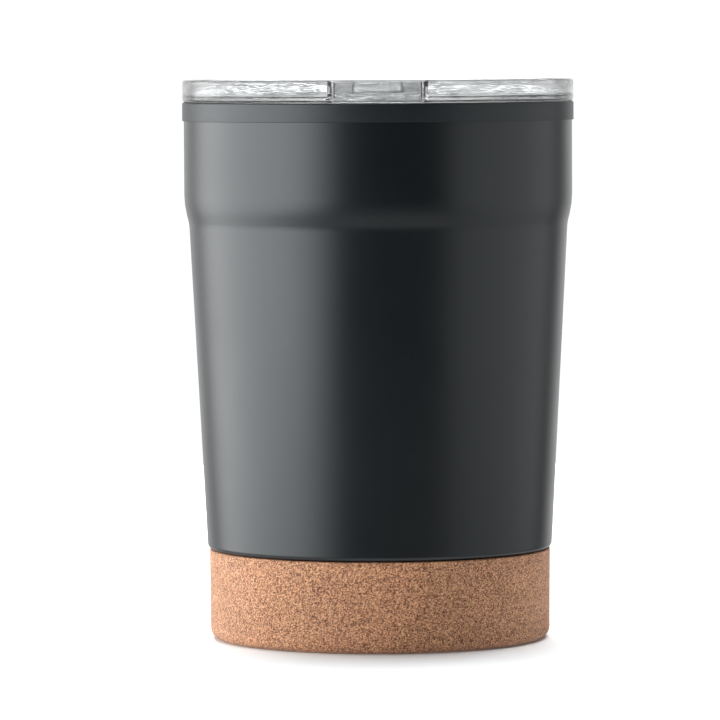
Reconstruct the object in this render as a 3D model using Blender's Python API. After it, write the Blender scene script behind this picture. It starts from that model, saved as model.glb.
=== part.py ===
"""Insulated tumbler: a lacquered steel shell over a moulded liner, a cork foot, and a clear lid whose
drinking hole is closed by a slider.

The origin is the middle of the cork foot's underside, +Z is up, and the spout faces -Y. Lengths are metres.
"""

import math

import bmesh
import bpy

MM = 0.001

# --- Fits shared by neighbouring pieces ---
SEAT = 0.3 * MM  # pieces that rest on, or are bonded to, each other
SLIP = 0.3 * MM  # each side of a piece that slides or drops into another
LID_SEAT = 0.2 * MM  # lid flange above the rim band

# --- Round sections ---
SEGMENTS = 48
ARC_STEP = math.radians(30)
FRONT_ARC_STEP = math.radians(6)
SMALL_HOLE_SIDES = 16
SHARP_ANGLE = math.radians(35)
LONGEST_REACH = 0.48  # share of a side that one corner's rounding may take
MERGE_DISTANCE = 0.001 * MM

# --- Steel shell ---
RIM_RADIUS = 42.5 * MM  # rim band and lid, the widest pieces
BAND_PROUD = 0.35 * MM  # rim band beyond the shell
SHELL_HEIGHT = 92.4 * MM  # shoulder on the cork to the upper edge
SHELL_BASE_RADIUS = 37.45 * MM
STEEL = 0.5 * MM
STEP_DROP = 22.1 * MM  # upper edge down to the foot of the step
STEP_HEIGHT = 4.4 * MM
STEP_DEPTH = 1.05 * MM
STEP_UPPER_ROUND = 22 * MM
STEP_LOWER_ROUND = 8 * MM
SHOULDER_ROUND = 2.0 * MM
NECK_ROUND = 1.4 * MM
LIP_WIDTH = 5.4 * MM  # the neck's inturned lower edge

# --- Cork foot ---
CORK_HEIGHT = 19.6 * MM
CORK_INSET = 0.35 * MM  # cork inside the shell's base radius
CORK_TAPER = 0.15 * MM
CORK_WALL = 3.2 * MM
CORK_FLOOR = 3.2 * MM
CORK_FOOT_ROUND = 2.4 * MM
CORK_TOP_ROUND = 0.4 * MM

# --- Base closure, inside the cork ---
BOND_THICKNESS = 0.6 * MM
BOND_INSET = 2.4 * MM  # bond pad inside the socket's radius
CAP_THICKNESS = 2.0 * MM
CAP_SPIGOT_WALL = 2.0 * MM
CAP_SPIGOT_HEIGHT = 4.6 * MM
BASE_GASKET_THICKNESS = 0.8 * MM

# --- Liner ---
BAND_HEIGHT = 4.1 * MM
BAND_ROUND = 0.6 * MM
COLLAR_DEPTH = 6.0 * MM  # collar inside the shell's mouth
COLLAR_THICKNESS = 2.95 * MM
LINER_WALL = 1.6 * MM
LINER_FLOOR = 2.0 * MM
LINER_STRAIGHT = 13.0 * MM  # parallel mouth that takes the lid's plug
LINER_NECK_GAP = 0.6 * MM  # air between the liner's taper and the neck's top
LINER_FLOOR_ROUND = 6.0 * MM
LINER_CLEARANCE = 3.4 * MM  # base closure up to the liner's underside
LINER_BOSS_WALL = 2.0 * MM
GROOVE_DEPTH = 1.0 * MM
GROOVE_HEIGHT = 2.0 * MM
GROOVE_DROP = 2.2 * MM  # rim band down to the groove

# --- Lid ---
LID_RIM_HEIGHT = 4.6 * MM
LID_RIM_WALL = 1.3 * MM
LID_RIM_ROUND = 1.2 * MM
LID_RIM_INNER_ROUND = 0.4 * MM
LID_FOOT_ROUND = 0.3 * MM
DECK_ROUND = 0.5 * MM
LID_DECK = 1.5 * MM
LID_FLANGE = 0.8 * MM  # deck's upper face above the lid's seat
PLUG_DEPTH = 11.0 * MM
PLUG_WALL = 1.4 * MM
PLUG_CLEARANCE = 0.5 * MM  # plug ribs to the liner
RIB_DEPTH = 1.0 * MM
RIB_HEIGHT = 1.0 * MM
SEAL_HEIGHT = 3.0 * MM
SEAL_WALL = 0.45 * MM
SEAL_LIPS = 2
CHANNEL_HALF_WIDTH = 9.3 * MM
CHANNEL_WALL = 1.2 * MM
CHANNEL_SINK = 1.2 * MM  # channel floor below the deck
CHANNEL_FRONT_GAP = 0.5 * MM  # channel's front end to the plug's inner face
CHANNEL_TOP_DROP = 0.5 * MM  # channel walls below the lid's rim
RAIL_OVERHANG = 0.9 * MM
RAIL_HEIGHT = 0.8 * MM
RAIL_SETBACK = 7.0 * MM  # channel's front end to the rails
SPOUT_STEP = 0.4 * MM  # the spout is narrower than the channel, each side
SPOUT_LIP = 0.8 * MM  # extra rim thickness at the spout
SPOUT_DIP = 0.4 * MM  # rim lowered at the spout
DRINK_HALF_WIDTH = 7.0 * MM
DRINK_LENGTH = 8.0 * MM
DRINK_MARGIN = 1.4 * MM  # hole to the channel's front end
DRINK_ROUND = 2.4 * MM
VENT_RADIUS = 1.0 * MM
VENT_SETBACK = 8.0 * MM  # behind the channel's rear wall

# --- Slider ---
SLIDER_LENGTH = 30.0 * MM
SLIDER_TRAVEL = 14.0 * MM
SLIDER_THICKNESS = 1.8 * MM
SLIDER_CORNER = 3.0 * MM
GRIP_HALF_WIDTH = 6.0 * MM
GRIP_LENGTH = 5.0 * MM
GRIP_HEIGHT = 2.4 * MM
GRIP_SETBACK = 9.0 * MM  # slider's rear edge to the grip's middle
GRIP_DRAFT = 0.8 * MM

# --- Radii and levels that follow ---
SHELL_RADIUS = RIM_RADIUS - BAND_PROUD
CORK_RADIUS = SHELL_BASE_RADIUS - CORK_INSET
SOCKET_RADIUS = CORK_RADIUS - CORK_WALL
NECK_RADIUS = SOCKET_RADIUS - SEAT
LIP_RADIUS = NECK_RADIUS - LIP_WIDTH

BOND_Z = CORK_FLOOR + SEAT
CAP_Z = BOND_Z + BOND_THICKNESS + SEAT
BASE_GASKET_Z = CAP_Z + CAP_THICKNESS + SEAT
LIP_Z = BASE_GASKET_Z + BASE_GASKET_THICKNESS + SEAT
SHOULDER_Z = CORK_HEIGHT + SEAT
SHELL_TOP_Z = SHOULDER_Z + SHELL_HEIGHT
BAND_Z = SHELL_TOP_Z + SEAT
RIM_Z = BAND_Z + BAND_HEIGHT
STEP_Z = SHELL_TOP_Z - STEP_DROP

COLLAR_RADIUS = SHELL_RADIUS - STEEL - SLIP
MOUTH_RADIUS = COLLAR_RADIUS - COLLAR_THICKNESS
LINER_UNDER_Z = LIP_Z + STEEL + LINER_CLEARANCE
LINER_FLOOR_Z = LINER_UNDER_Z + LINER_FLOOR
LINER_MOUTH_FOOT_Z = RIM_Z - LINER_STRAIGHT
LINER_AT_NECK = NECK_RADIUS - STEEL - LINER_NECK_GAP
LINER_TAPER = (MOUTH_RADIUS + LINER_WALL - LINER_AT_NECK) / (LINER_MOUTH_FOOT_Z - SHOULDER_Z)
LINER_BASE_RADIUS = LINER_AT_NECK - LINER_TAPER * (SHOULDER_Z - LINER_UNDER_Z) - LINER_WALL
CAP_SPIGOT_RADIUS = LIP_RADIUS - SLIP
BOSS_RADIUS = CAP_SPIGOT_RADIUS - CAP_SPIGOT_WALL - SLIP

LID_Z = RIM_Z + LID_SEAT
LID_TOP_Z = LID_Z + LID_RIM_HEIGHT
DECK_Z = LID_Z + LID_FLANGE
DECK_UNDER_Z = DECK_Z - LID_DECK
RIB_RADIUS = MOUTH_RADIUS - PLUG_CLEARANCE
PLUG_RADIUS = RIB_RADIUS - RIB_DEPTH
PLUG_INNER_RADIUS = PLUG_RADIUS - PLUG_WALL
PLUG_BOTTOM_Z = LID_Z - PLUG_DEPTH
SEAL_Z = PLUG_BOTTOM_Z + 2 * RIB_HEIGHT + SEAT
CHANNEL_Z = DECK_Z - CHANNEL_SINK
CHANNEL_FRONT_RADIUS = PLUG_INNER_RADIUS - CHANNEL_FRONT_GAP
SLIDER_Z = CHANNEL_Z + SLIP
SLIDER_HALF_WIDTH = CHANNEL_HALF_WIDTH - SLIP
SLIDER_FRONT_RADIUS = CHANNEL_FRONT_RADIUS - SLIP
SLIDER_REAR_Y = SLIDER_LENGTH - SLIDER_FRONT_RADIUS
CHANNEL_REAR_Y = SLIDER_REAR_Y + SLIDER_TRAVEL + SLIP
RAIL_Z = SLIDER_Z + SLIDER_THICKNESS + SLIP
OVERCUT = 2 * MM  # how far a cutter runs past what it cuts
OVERLAP = 0.6 * MM  # how far joined shapes run into each other

COLOURS = {
    # name: (colour, metallic, roughness, alpha)
    "lacquered_steel": ((0.045, 0.050, 0.053), 0.35, 0.38, 1.0),
    "liner_plastic": ((0.050, 0.055, 0.058), 0.0, 0.45, 1.0),
    "cork": ((0.52, 0.31, 0.18), 0.0, 0.85, 1.0),
    "clear_plastic": ((0.93, 0.96, 0.96), 0.0, 0.05, 0.35),
    "silicone": ((0.82, 0.84, 0.84), 0.0, 0.35, 0.8),
    "black_rubber": ((0.02, 0.02, 0.02), 0.0, 0.60, 1.0),
    "bonding_foam": ((0.75, 0.72, 0.66), 0.0, 0.80, 1.0),
}


# --- Outlines ---


def rounded(corners, closed=False):
    """The points of a path whose corners, given as (x, y) or (x, y, radius), are rounded by arcs."""
    points = []
    last = len(corners) - 1
    for i, corner in enumerate(corners):
        x, y = corner[:2]
        radius = corner[2] if len(corner) > 2 else 0
        if radius == 0 or (not closed and i in (0, last)):
            points.append((x, y))
            continue
        before = corners[i - 1]
        after = corners[(i + 1) % len(corners)]
        in_x, in_y = x - before[0], y - before[1]
        out_x, out_y = after[0] - x, after[1] - y
        in_length, out_length = math.hypot(in_x, in_y), math.hypot(out_x, out_y)
        heading = math.atan2(in_y, in_x)
        turn = math.remainder(math.atan2(out_y, out_x) - heading, math.tau)
        reach = radius * math.tan(abs(turn) / 2)
        reach = min(reach, LONGEST_REACH * in_length, LONGEST_REACH * out_length)
        radius = reach / math.tan(abs(turn) / 2)
        start_x, start_y = x - in_x / in_length * reach, y - in_y / in_length * reach
        side = math.copysign(1, turn)
        centre_x = start_x - side * radius * math.sin(heading)
        centre_y = start_y + side * radius * math.cos(heading)
        steps = max(1, math.ceil(abs(turn) / ARC_STEP))
        for step in range(steps + 1):
            angle = heading + turn * step / steps
            points.append(
                (
                    centre_x + side * radius * math.sin(angle),
                    centre_y - side * radius * math.cos(angle),
                )
            )
    return points


def offset(path, distance):
    """The open path moved sideways, to its left when the distance is positive."""
    moved = []
    for i, (x, y) in enumerate(path):
        before = path[max(i - 1, 0)]
        after = path[min(i + 1, len(path) - 1)]
        in_angle = math.atan2(y - before[1], x - before[0]) if i else None
        out_angle = math.atan2(after[1] - y, after[0] - x) if i < len(path) - 1 else None
        in_angle = out_angle if in_angle is None else in_angle
        out_angle = in_angle if out_angle is None else out_angle
        half_turn = math.remainder(out_angle - in_angle, math.tau) / 2
        normal = in_angle + half_turn + math.pi / 2
        reach = distance / math.cos(half_turn)
        moved.append((x + reach * math.cos(normal), y + reach * math.sin(normal)))
    return moved


def sheet_outline(path, wall):
    """The closed outline of a sheet whose one face follows the path and whose thickness lies to its left."""
    return path + offset(path, wall)[::-1]


def bullet(half_width, front_radius, rear_y, rear_round=0.0):
    """A plan outline with straight sides, a flat rear end and a front end that is an arc about Z."""
    corner = math.asin(half_width / front_radius)
    steps = max(4, math.ceil(2 * corner / FRONT_ARC_STEP))
    points = []
    for step in range(steps + 1):
        angle = -corner + 2 * corner * step / steps
        points.append((front_radius * math.sin(angle), -front_radius * math.cos(angle)))
    rear = [(half_width, rear_y, rear_round), (-half_width, rear_y, rear_round)]
    return points + rounded([points[-1], *rear, points[0]])[1:-1]


# --- Solids ---


def add_mesh(name, mesh_data):
    """A named object that holds a finished bmesh, with its faces turned outwards."""
    bmesh.ops.recalc_face_normals(mesh_data, faces=mesh_data.faces)
    mesh = bpy.data.meshes.new(name)
    mesh_data.to_mesh(mesh)
    mesh_data.free()
    mesh.shade_smooth()
    mesh.set_sharp_from_angle(angle=SHARP_ANGLE)
    made = bpy.data.objects.new(name, mesh)
    bpy.context.scene.collection.objects.link(made)
    return made


def turned(name, outline):
    """A solid of revolution about Z from an outline of (radius, height) points. An outline that starts and
    ends on the axis is a disc; any other is closed into a ring."""
    shape = bmesh.new()
    corners = [shape.verts.new((radius, 0, height)) for radius, height in outline]
    pairs = list(zip(corners, corners[1:]))
    if outline[0][0] > 0:
        pairs.append((corners[-1], corners[0]))
    edges = [shape.edges.new(pair) for pair in pairs]
    bmesh.ops.spin(
        shape,
        geom=corners + edges,
        cent=(0, 0, 0),
        axis=(0, 0, 1),
        angle=math.tau,
        steps=SEGMENTS,
        use_merge=True,
    )
    bmesh.ops.remove_doubles(shape, verts=shape.verts, dist=MERGE_DISTANCE)
    return add_mesh(name, shape)


def prism(name, outline, low, high, draft=0.0):
    """A plan outline carried from one height to another. The draft draws its upper face in on every side."""
    shape = bmesh.new()
    base = shape.faces.new([shape.verts.new((x, y, low)) for x, y in outline])
    grown = bmesh.ops.extrude_face_region(shape, geom=[base])["geom"]
    upper = [item for item in grown if isinstance(item, bmesh.types.BMVert)]
    middle_x = sum(x for x, _ in outline) / len(outline)
    middle_y = sum(y for _, y in outline) / len(outline)
    for vert in upper:
        vert.co.z = high
        vert.co.x -= math.copysign(draft, vert.co.x - middle_x)
        vert.co.y -= math.copysign(draft, vert.co.y - middle_y)
    return add_mesh(name, shape)


def rectangle(low_x, high_x, low_y, high_y):
    return [(low_x, low_y), (high_x, low_y), (high_x, high_y), (low_x, high_y)]


def circle(radius, centre_y):
    turns = [i * math.tau / SMALL_HOLE_SIDES for i in range(SMALL_HOLE_SIDES)]
    return [(radius * math.cos(turn), centre_y + radius * math.sin(turn)) for turn in turns]


def combine(target, tool, operation):
    """Joins a tool to the target, or cuts it away, and keeps the tool as a hidden guide."""
    tool.hide_render = True
    tool.display_type = "WIRE"
    modifier = target.modifiers.new(tool.name, "BOOLEAN")
    modifier.operation = operation
    modifier.solver = "EXACT"
    modifier.object = tool


def paint(made, slot):
    """Gives the object a material of its own, in the colour and finish of its slot."""
    colour, metallic, roughness, alpha = COLOURS[slot]
    material = bpy.data.materials.new(f"{made.name}_{slot}")
    material.use_nodes = True
    shader = material.node_tree.nodes["Principled BSDF"]
    shader.inputs["Base Color"].default_value = (*colour, 1.0)
    shader.inputs["Metallic"].default_value = metallic
    shader.inputs["Roughness"].default_value = roughness
    shader.inputs["Alpha"].default_value = alpha
    made.data.materials.append(material)


# --- Cup ---


def make_outer_shell():
    """The drawn steel shell: straight mouth, step, long taper, shoulder, and a neck inside the cork."""
    path = rounded(
        [
            (SHELL_RADIUS, SHELL_TOP_Z),
            (SHELL_RADIUS, STEP_Z + STEP_HEIGHT, STEP_UPPER_ROUND),
            (SHELL_RADIUS - STEP_DEPTH, STEP_Z, STEP_LOWER_ROUND),
            (SHELL_BASE_RADIUS, SHOULDER_Z, SHOULDER_ROUND),
            (NECK_RADIUS, SHOULDER_Z, NECK_ROUND),
            (NECK_RADIUS, LIP_Z, NECK_ROUND),
            (LIP_RADIUS, LIP_Z),
        ]
    )
    shell = turned("outer_shell", sheet_outline(path, -STEEL))
    paint(shell, "lacquered_steel")
    return shell


def make_inner_liner():
    """The moulded liner: a rim band on the shell's edge, a collar inside its mouth, and a tapered cup with a
    boss underneath. A groove round the collar takes the rim gasket."""
    groove_z = BAND_Z - GROOVE_DROP
    collar_foot_z = BAND_Z - COLLAR_DEPTH
    outline = rounded(
        [
            (0, LINER_FLOOR_Z),
            (LINER_BASE_RADIUS, LINER_FLOOR_Z, LINER_FLOOR_ROUND),
            (MOUTH_RADIUS, LINER_MOUTH_FOOT_Z),
            (MOUTH_RADIUS, RIM_Z, BAND_ROUND),
            (RIM_RADIUS, RIM_Z, BAND_ROUND),
            (RIM_RADIUS, BAND_Z),
            (COLLAR_RADIUS, BAND_Z),
            (COLLAR_RADIUS, groove_z),
            (COLLAR_RADIUS - GROOVE_DEPTH, groove_z),
            (COLLAR_RADIUS - GROOVE_DEPTH, groove_z - GROOVE_HEIGHT),
            (COLLAR_RADIUS, groove_z - GROOVE_HEIGHT),
            (COLLAR_RADIUS, collar_foot_z),
            (MOUTH_RADIUS + LINER_WALL, collar_foot_z),
            (MOUTH_RADIUS + LINER_WALL, LINER_MOUTH_FOOT_Z),
            (LINER_BASE_RADIUS + LINER_WALL, LINER_UNDER_Z, LINER_FLOOR_ROUND),
            (BOSS_RADIUS, LINER_UNDER_Z),
            (BOSS_RADIUS, BASE_GASKET_Z),
            (BOSS_RADIUS - LINER_BOSS_WALL, BASE_GASKET_Z),
            (BOSS_RADIUS - LINER_BOSS_WALL, LINER_UNDER_Z),
            (0, LINER_UNDER_Z),
        ]
    )
    liner = turned("inner_liner", outline)
    paint(liner, "liner_plastic")
    return liner


def make_rim_gasket():
    """The ring in the collar's groove that keeps water out of the air gap."""
    inner = COLLAR_RADIUS - GROOVE_DEPTH + SEAT
    outer = SHELL_RADIUS - STEEL - SEAT
    top = BAND_Z - GROOVE_DROP - SEAT
    bottom = top - GROOVE_HEIGHT + 2 * SEAT
    ring = [(inner, bottom), (outer, bottom), (outer, top), (inner, top)]
    gasket = turned("rim_gasket", ring)
    paint(gasket, "black_rubber")
    return gasket


def make_base_cap():
    """The moulded disc that closes the neck. Its spigot passes the neck's lip and holds the liner's boss."""
    spigot_top = CAP_Z + CAP_THICKNESS + CAP_SPIGOT_HEIGHT
    flange_top = CAP_Z + CAP_THICKNESS
    outline = [
        (0, CAP_Z),
        (NECK_RADIUS - SEAT, CAP_Z),
        (NECK_RADIUS - SEAT, flange_top),
        (CAP_SPIGOT_RADIUS, flange_top),
        (CAP_SPIGOT_RADIUS, spigot_top),
        (CAP_SPIGOT_RADIUS - CAP_SPIGOT_WALL, spigot_top),
        (CAP_SPIGOT_RADIUS - CAP_SPIGOT_WALL, flange_top),
        (0, flange_top),
    ]
    cap = turned("base_cap", outline)
    paint(cap, "liner_plastic")
    return cap


def make_base_gasket():
    """The flat ring between the base cap and the neck's lip."""
    inner = CAP_SPIGOT_RADIUS + SLIP
    outer = NECK_RADIUS - NECK_ROUND
    top = BASE_GASKET_Z + BASE_GASKET_THICKNESS
    ring = [(inner, BASE_GASKET_Z), (outer, BASE_GASKET_Z), (outer, top), (inner, top)]
    gasket = turned("base_gasket", ring)
    paint(gasket, "black_rubber")
    return gasket


def make_bond_pad():
    """The adhesive pad between the cork's floor and the base cap."""
    radius = SOCKET_RADIUS - BOND_INSET
    top = BOND_Z + BOND_THICKNESS
    pad = turned("bond_pad", [(0, BOND_Z), (radius, BOND_Z), (radius, top), (0, top)])
    paint(pad, "bonding_foam")
    return pad


def make_cork_base():
    """The cork foot: a thick-walled cup that the neck sits in."""
    outline = rounded(
        [
            (0, 0),
            (CORK_RADIUS - CORK_TAPER, 0, CORK_FOOT_ROUND),
            (CORK_RADIUS, CORK_HEIGHT, CORK_TOP_ROUND),
            (SOCKET_RADIUS, CORK_HEIGHT, NECK_ROUND - SEAT),
            (SOCKET_RADIUS, CORK_FLOOR),
            (0, CORK_FLOOR),
        ]
    )
    cork = turned("cork_base", outline)
    paint(cork, "cork")
    return cork


# --- Lid ---


def lid_outline():
    """Half the lid's section, without its channel: rim, deck, plug and the two ribs that hold the seal."""
    rib_2_z = SEAL_Z + SEAL_HEIGHT + SEAT
    return rounded(
        [
            (0, DECK_UNDER_Z),
            (PLUG_INNER_RADIUS, DECK_UNDER_Z),
            (PLUG_INNER_RADIUS, PLUG_BOTTOM_Z),
            (PLUG_RADIUS, PLUG_BOTTOM_Z),
            (RIB_RADIUS, PLUG_BOTTOM_Z + RIB_HEIGHT),
            (RIB_RADIUS, SEAL_Z - SEAT),
            (PLUG_RADIUS, SEAL_Z - SEAT),
            (PLUG_RADIUS, rib_2_z),
            (RIB_RADIUS, rib_2_z),
            (RIB_RADIUS, rib_2_z + RIB_HEIGHT),
            (PLUG_RADIUS, rib_2_z + RIB_HEIGHT),
            (PLUG_RADIUS, LID_Z),
            (RIM_RADIUS, LID_Z, LID_FOOT_ROUND),
            (RIM_RADIUS, LID_TOP_Z, LID_RIM_ROUND),
            (RIM_RADIUS - LID_RIM_WALL, LID_TOP_Z, LID_RIM_INNER_ROUND),
            (RIM_RADIUS - LID_RIM_WALL, DECK_Z, DECK_ROUND),
            (0, DECK_Z),
        ]
    )


def make_lid_body():
    """The clear lid: the turned section, the sunk channel with its walls and rails, the spout, the drinking
    hole and the vent."""
    lid = turned("lid_body", lid_outline())
    outer_half = CHANNEL_HALF_WIDTH + CHANNEL_WALL
    outer_rear = CHANNEL_REAR_Y + CHANNEL_WALL
    wall_top = LID_TOP_Z - CHANNEL_TOP_DROP
    above = LID_TOP_Z + OVERCUT
    rim_inner = RIM_RADIUS - LID_RIM_WALL

    trough = bullet(outer_half, PLUG_INNER_RADIUS + OVERLAP, outer_rear)
    combine(lid, prism("trough", trough, CHANNEL_Z - LID_DECK, DECK_Z - OVERLAP), "UNION")
    walls = bullet(outer_half, rim_inner + OVERLAP, outer_rear)
    combine(lid, prism("channel_walls", walls, DECK_Z - OVERLAP, wall_top), "UNION")

    channel = bullet(CHANNEL_HALF_WIDTH, CHANNEL_FRONT_RADIUS, CHANNEL_REAR_Y)
    combine(lid, prism("channel", channel, CHANNEL_Z, above), "DIFFERENCE")
    spout_half = CHANNEL_HALF_WIDTH - SPOUT_STEP
    spout = bullet(spout_half, rim_inner - SPOUT_LIP, -PLUG_INNER_RADIUS / 2)
    combine(lid, prism("spout", spout, DECK_Z, above), "DIFFERENCE")

    dip_half = CHANNEL_HALF_WIDTH + CHANNEL_WALL / 2
    dip = rectangle(-dip_half, dip_half, -RIM_RADIUS - OVERCUT, -PLUG_INNER_RADIUS)
    combine(lid, prism("spout_dip", dip, LID_TOP_Z - SPOUT_DIP, above), "DIFFERENCE")

    for side, name in ((1, "right_rail"), (-1, "left_rail")):
        near = side * (CHANNEL_HALF_WIDTH - RAIL_OVERHANG)
        far = side * (CHANNEL_HALF_WIDTH + OVERLAP)
        front = RAIL_SETBACK - CHANNEL_FRONT_RADIUS
        rail = rectangle(min(near, far), max(near, far), front, CHANNEL_REAR_Y - OVERLAP)
        combine(lid, prism(name, rail, RAIL_Z, RAIL_Z + RAIL_HEIGHT), "UNION")

    below = CHANNEL_Z - LID_DECK - OVERCUT
    combine(lid, prism("drink_hole", drink_outline(), below, above), "DIFFERENCE")
    vent_y = outer_rear + VENT_SETBACK
    combine(lid, prism("vent_hole", circle(VENT_RADIUS, vent_y), below, above), "DIFFERENCE")
    paint(lid, "clear_plastic")
    return lid


def drink_outline():
    """The drinking hole's outline, just behind the channel's front end."""
    front_radius = CHANNEL_FRONT_RADIUS - DRINK_MARGIN
    front_y = -math.sqrt(front_radius**2 - DRINK_HALF_WIDTH**2)
    corners = [
        (-DRINK_HALF_WIDTH, front_y, DRINK_ROUND),
        (0, -front_radius, front_radius),
        (DRINK_HALF_WIDTH, front_y, DRINK_ROUND),
        (DRINK_HALF_WIDTH, DRINK_LENGTH - front_radius, DRINK_ROUND),
        (-DRINK_HALF_WIDTH, DRINK_LENGTH - front_radius, DRINK_ROUND),
    ]
    return rounded(corners, closed=True)


def make_lid_seal():
    """The silicone ring between the plug's ribs, with soft lips that face the liner."""
    inner = PLUG_RADIUS + SEAT
    lip_tip = MOUTH_RADIUS - SEAT
    pitch = SEAL_HEIGHT / SEAL_LIPS
    outline = [(inner, SEAL_Z)]
    for lip in range(SEAL_LIPS):
        outline.append((inner + SEAL_WALL, SEAL_Z + lip * pitch))
        outline.append((lip_tip, SEAL_Z + (lip + 0.5) * pitch))
    outline.append((inner + SEAL_WALL, SEAL_Z + SEAL_HEIGHT))
    outline.append((inner, SEAL_Z + SEAL_HEIGHT))
    seal = turned("lid_seal", outline)
    paint(seal, "silicone")
    return seal


def make_slider():
    """The closure that slides in the channel under its rails, with a low grip for the thumb."""
    plan = bullet(SLIDER_HALF_WIDTH, SLIDER_FRONT_RADIUS, SLIDER_REAR_Y, SLIDER_CORNER)
    top = SLIDER_Z + SLIDER_THICKNESS
    slider = prism("slider", plan, SLIDER_Z, top)
    middle_y = SLIDER_REAR_Y - GRIP_SETBACK
    half_length = GRIP_LENGTH / 2
    grip = rectangle(-GRIP_HALF_WIDTH, GRIP_HALF_WIDTH, middle_y - half_length, middle_y + half_length)
    grip_shape = prism("thumb_grip", grip, top - OVERLAP, top + GRIP_HEIGHT, GRIP_DRAFT)
    combine(slider, grip_shape, "UNION")
    paint(slider, "clear_plastic")
    return slider


def main():
    for old in list(bpy.data.objects):
        bpy.data.objects.remove(old)
    make_cork_base()
    make_bond_pad()
    make_base_cap()
    make_base_gasket()
    make_outer_shell()
    make_inner_liner()
    make_rim_gasket()
    make_lid_body()
    make_lid_seal()
    make_slider()


main()
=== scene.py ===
"""Travel tumbler: its finished pieces and a plain white studio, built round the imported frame.

The file is laid out as an add-on and runs as a script. Lengths are metres, +Z is up and the spout faces -Y.
"""

import math

import bmesh
import bpy
from bpy.props import FloatProperty, FloatVectorProperty, IntProperty, PointerProperty
from bpy.types import Operator, Panel, PropertyGroup
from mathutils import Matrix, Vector


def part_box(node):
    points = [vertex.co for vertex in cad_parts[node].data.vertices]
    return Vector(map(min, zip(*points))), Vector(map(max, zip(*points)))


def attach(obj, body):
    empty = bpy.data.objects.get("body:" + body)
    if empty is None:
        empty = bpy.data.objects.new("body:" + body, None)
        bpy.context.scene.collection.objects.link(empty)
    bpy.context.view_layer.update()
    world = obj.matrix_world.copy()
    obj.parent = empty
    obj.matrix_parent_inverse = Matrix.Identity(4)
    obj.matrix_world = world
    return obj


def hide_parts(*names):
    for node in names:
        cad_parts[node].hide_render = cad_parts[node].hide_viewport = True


bl_info = {
    "name": "Travel Tumbler",
    "version": (1, 0, 0),
    "blender": (4, 5, 0),
    "location": "View3D > Sidebar > Tumbler",
    "description": "Builds the finished pieces of a lidded travel tumbler round its frame",
    "category": "Object",
}

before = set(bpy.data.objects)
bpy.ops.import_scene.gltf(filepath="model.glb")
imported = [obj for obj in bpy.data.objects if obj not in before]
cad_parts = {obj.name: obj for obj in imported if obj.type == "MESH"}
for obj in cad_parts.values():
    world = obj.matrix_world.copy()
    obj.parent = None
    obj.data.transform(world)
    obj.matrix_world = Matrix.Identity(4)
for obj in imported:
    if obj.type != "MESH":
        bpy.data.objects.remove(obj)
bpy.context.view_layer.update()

MM = 0.001
ARC_STEP = math.radians(9)
FRONT_ARC_STEP = math.radians(1.5)
SHARP_ANGLE = math.radians(32)
CRISP_ANGLE = math.radians(20)  # keeps the flat faces of clear pieces flat beside their rounded edges
MERGE_DISTANCE = 0.0005 * MM
LONGEST_REACH = 0.48  # share of a side that one corner's rounding may take
OVERCUT = 2 * MM  # how far a cutter runs past what it cuts
OVERLAP = 0.6 * MM  # how far joined shapes run into each other
SEAL_CLEARANCE = 0.3 * MM  # between the silicone ring and the lid's plug and ribs
FLAT_FOOT = 0.3 * MM  # height above its resting face from which the cork has pits
RIB_MARGIN = 0.8 * MM  # between a grip rib's end and the grip's edge
COOL_GLOSS = (0.945, 1.0, 1.015, 1.0)  # tint of the gloss on the dark finishes

SHELL_LOW, SHELL_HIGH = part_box("outer_shell")
LINER_LOW, LINER_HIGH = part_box("inner_liner")
CORK_LOW, CORK_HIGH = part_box("cork_base")
LID_LOW, LID_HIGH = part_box("lid_body")
SEAL_LOW, SEAL_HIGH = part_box("lid_seal")
SLIDER_LOW, SLIDER_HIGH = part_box("slider")


# --- Settings shown in the sidebar ---


def length(name, description, default):
    return FloatProperty(name=name, description=description, default=default, unit="LENGTH", precision=5)


def angle(name, description, degrees):
    return FloatProperty(name=name, description=description, default=math.radians(degrees), unit="ROTATION")


def share(name, description, default):
    return FloatProperty(name=name, description=description, default=default, min=0, max=1, subtype="FACTOR")


def facets(default):
    return IntProperty(name="Segments", description="Faces round the piece", default=default, min=48)


def radiance(name, description, default):
    return FloatProperty(name=name, description=description, default=default, min=0)


def colour(name, description, default):
    return FloatVectorProperty(
        name=name, description=description, default=default, size=3, min=0, max=1, subtype="COLOR"
    )


class TUMBLER_PG_shell(PropertyGroup):
    """The drawn steel shell."""

    segments: facets(256)
    wall: length("Wall", "Thickness of the sheet", 0.5 * MM)
    base_radius: length("Base radius", "Radius at the shoulder on the cork", 37.45 * MM)
    step_drop: length("Step drop", "Upper edge down to the foot of the step", 22.1 * MM)
    step_height: length("Step height", "Height that the step takes", 4.4 * MM)
    step_depth: length("Step depth", "How far the step goes in", 1.05 * MM)
    step_upper_round: length("Upper round", "Radius where the step leaves the mouth", 22 * MM)
    step_lower_round: length("Lower round", "Radius where the step meets the taper", 8 * MM)
    shoulder_round: length("Shoulder round", "Radius of the lower outer edge", 1.0 * MM)
    neck_round: length("Neck round", "Radius of the bends in the neck", 1.4 * MM)
    neck_inset: length("Neck inset", "Shell's base radius to the neck", 3.85 * MM)
    lip_width: length("Lip", "Width of the neck's inturned edge", 5.4 * MM)
    band_gap: length("Band gap", "Space between the shell and the rim band", 0.02 * MM)
    seat_gap: length("Seat gap", "Space between the shell and the cork", 0.15 * MM)
    lacquer: colour("Lacquer", "Colour of the lacquer", (0.0050, 0.0066, 0.0084))
    roughness: share("Roughness", "Roughness of the lacquer", 0.31)


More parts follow.
